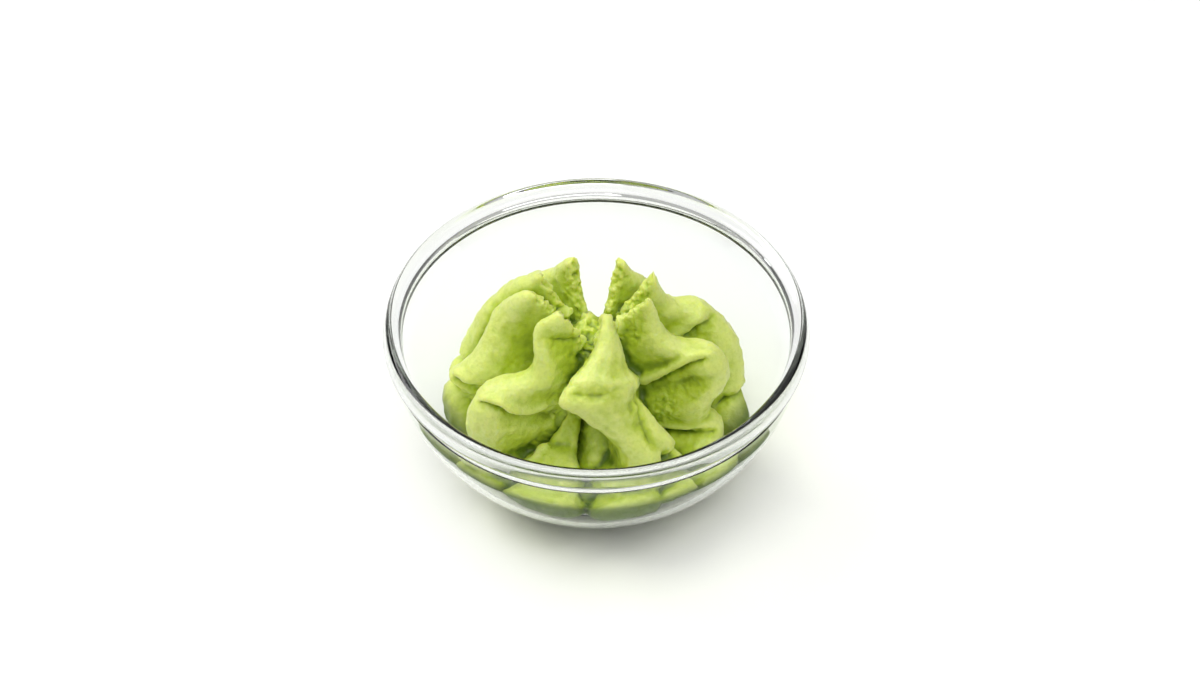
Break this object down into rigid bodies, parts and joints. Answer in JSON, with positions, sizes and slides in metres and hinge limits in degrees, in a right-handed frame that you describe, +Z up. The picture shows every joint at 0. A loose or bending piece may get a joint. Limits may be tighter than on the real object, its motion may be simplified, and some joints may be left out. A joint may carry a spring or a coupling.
{
  "type": "wasabi paste in a glass bowl",
  "caption": "Small round clear glass bowl with a rounded rim band, holding a star-piped rosette of green wasabi paste with tall folded blades round a torn hollow.",
  "frame": {"origin": "centre of the bowl's foot, on the surface it stands on", "axes": "+Z up out of the bowl, -Y towards the viewer, +X to the viewer's right"},
  "size_m": [0.06, 0.06, 0.0342],
  "materials": {
    "glass": "clear, polished pressed glass",
    "paste": "moist, slightly translucent, finely grained paste"
  },
  "bodies": {
    "root": {"glass_bowl": "glass", "wasabi_paste": "paste"}
  },
  "joints": []
}
